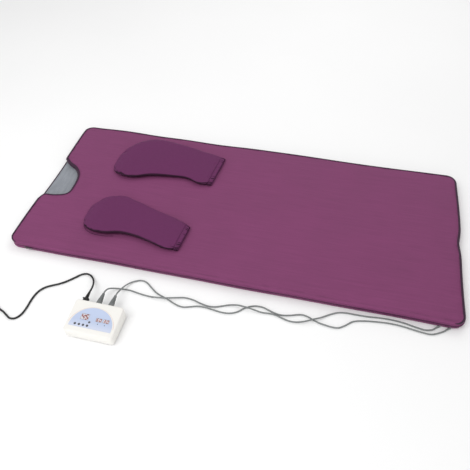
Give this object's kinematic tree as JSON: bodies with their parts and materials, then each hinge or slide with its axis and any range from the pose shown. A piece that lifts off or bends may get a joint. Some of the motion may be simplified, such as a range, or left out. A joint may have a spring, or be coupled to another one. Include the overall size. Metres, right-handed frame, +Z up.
{
  "type": "infrared sauna blanket",
  "caption": "Flat zip-up infrared sauna blanket with arm sleeves and a neck opening, wired to a tabletop controller with displays and buttons.",
  "frame": {"origin": "centre of the blanket's underside, on the surface it lies on", "axes": "+X from the head to the foot, -Y towards the zip and the controller, +Z up"},
  "size_m": [1.7955, 1.214, 0.0609],
  "materials": {
    "plum_fabric": "woven synthetic cover, plum",
    "dark_plum_fabric": "smooth sleeve fabric, dark plum",
    "grey_lining": "matt grey lining",
    "edge_trim": "woven edge tape, dark purple",
    "insulation_felt": "felt padding",
    "carbon_ribbon": "carbon-fibre heater ribbon",
    "zip_coil": "nylon coil",
    "zip_metal": "dark die-cast metal",
    "cable_grey": "matt grey flexible plastic",
    "cord_black": "black flexible cord and moulding",
    "case_white": "satin off-white moulding",
    "panel_blue": "satin light blue film",
    "display_orange": "amber display window",
    "button_dark": "matt dark grey",
    "led_dark": "unlit lens",
    "board_green": "glass-epoxy circuit board",
    "core_steel": "laminated core and winding",
    "sink_aluminium": "extruded",
    "sensor_ceramic": "potted sensor",
    "rubber_foot": "soft rubber"
  },
  "bodies": {
    "base_mat": {"base_outer_shell": "plum_fabric", "base_insulation": "insulation_felt", "base_heater_element": "carbon_ribbon", "base_lining": "grey_lining", "base_head_binding": "edge_trim", "base_temperature_sensor": "sensor_ceramic", "base_thermal_cutout": "sensor_ceramic", "fold_seam_roll": "edge_trim", "zip_tape_base": "edge_trim", "zip_coil_base": "zip_coil", "cable_gland_left": "cable_grey", "cable_gland_right": "cable_grey", "heater_cable_left": "cable_grey", "heater_cable_right": "cable_grey", "heater_plug_left": "cable_grey", "heater_plug_right": "cable_grey", "mains_connector": "cord_black", "mains_cord": "cord_black", "mains_cord_coil": "cord_black", "mains_cord_tail": "cord_black", "mains_cord_tie": "button_dark", "mains_plug": "cord_black", "case_upper_shell": "case_white", "case_lower_shell": "case_white", "foot_strip_front": "rubber_foot", "foot_strip_rear": "rubber_foot", "panel_overlay": "panel_blue", "display_main": "display_orange", "display_left": "display_orange", "display_right": "display_orange", "indicator_led_left": "led_dark", "indicator_led_right": "led_dark", "display_board": "board_green", "main_board": "board_green", "transformer": "core_steel", "heat_sink": "sink_aluminium", "heater_socket_left": "case_white", "heater_socket_right": "case_white", "mains_inlet": "cord_black"},
    "cover": {"cover_outer_shell": "plum_fabric", "cover_insulation": "insulation_felt", "cover_heater_element": "carbon_ribbon", "cover_lining": "grey_lining", "cover_neck_binding": "edge_trim", "cover_temperature_sensor": "sensor_ceramic", "zip_tape_cover": "edge_trim", "zip_coil_cover": "zip_coil", "sleeve_shoulder_far": "dark_plum_fabric", "sleeve_shoulder_near": "dark_plum_fabric"},
    "arm_far": {"sleeve_arm_far": "dark_plum_fabric", "sleeve_cuff_far": "edge_trim"},
    "arm_near": {"sleeve_arm_near": "dark_plum_fabric", "sleeve_cuff_near": "edge_trim"},
    "zip_slider": {"zip_slider": "zip_metal"},
    "zip_pull": {"zip_pull_tab": "zip_metal"},
    "button_1": {"button_1": "button_dark"},
    "button_2": {"button_2": "button_dark"},
    "button_3": {"button_3": "button_dark"},
    "button_4": {"button_4": "button_dark"},
    "power_button": {"power_button": "button_dark"}
  },
  "joints": [
    {"name": "cover_fold", "type": "hinge", "parent": "base_mat", "child": "cover", "pos_m": [0, 0.3965, 0.01725], "axis": [-1, 0, 0], "range_deg": [0, 160]},
    {"name": "zip_slide", "type": "slide", "parent": "base_mat", "child": "zip_slider", "axis": [1, 0, 0], "range_m": [0, 1.654]},
    {"name": "pull_tab_swing", "type": "hinge", "parent": "zip_slider", "child": "zip_pull", "pos_m": [-0.81, -0.4008, 0.01725], "axis": [0, 0, -1], "range_deg": [0, 178]},
    {"name": "sleeve_far_lift", "type": "hinge", "parent": "cover", "child": "arm_far", "pos_m": [-0.4703, 0.2095, 0.0613], "axis": [0, -1, 0], "range_deg": [0, 45]},
    {"name": "sleeve_near_lift", "type": "hinge", "parent": "cover", "child": "arm_near", "pos_m": [-0.4703, -0.172, 0.0613], "axis": [0, -1, 0], "range_deg": [0, 45]},
    {"name": "button_1_press", "type": "slide", "parent": "base_mat", "child": "button_1", "axis": [0, 0.0785, -0.9969], "range_m": [0, 0.0008], "stiffness_N_per_m": 300},
    {"name": "button_2_press", "type": "slide", "parent": "base_mat", "child": "button_2", "axis": [0, 0.0785, -0.9969], "range_m": [0, 0.0008], "stiffness_N_per_m": 300},
    {"name": "button_3_press", "type": "slide", "parent": "base_mat", "child": "button_3", "axis": [0, 0.0785, -0.9969], "range_m": [0, 0.0008], "stiffness_N_per_m": 300},
    {"name": "button_4_press", "type": "slide", "parent": "base_mat", "child": "button_4", "axis": [0, 0.0785, -0.9969], "range_m": [0, 0.0008], "stiffness_N_per_m": 300},
    {"name": "power_button_press", "type": "slide", "parent": "base_mat", "child": "power_button", "axis": [0, 0.0785, -0.9969], "range_m": [0, 0.0008], "stiffness_N_per_m": 300}
  ]
}
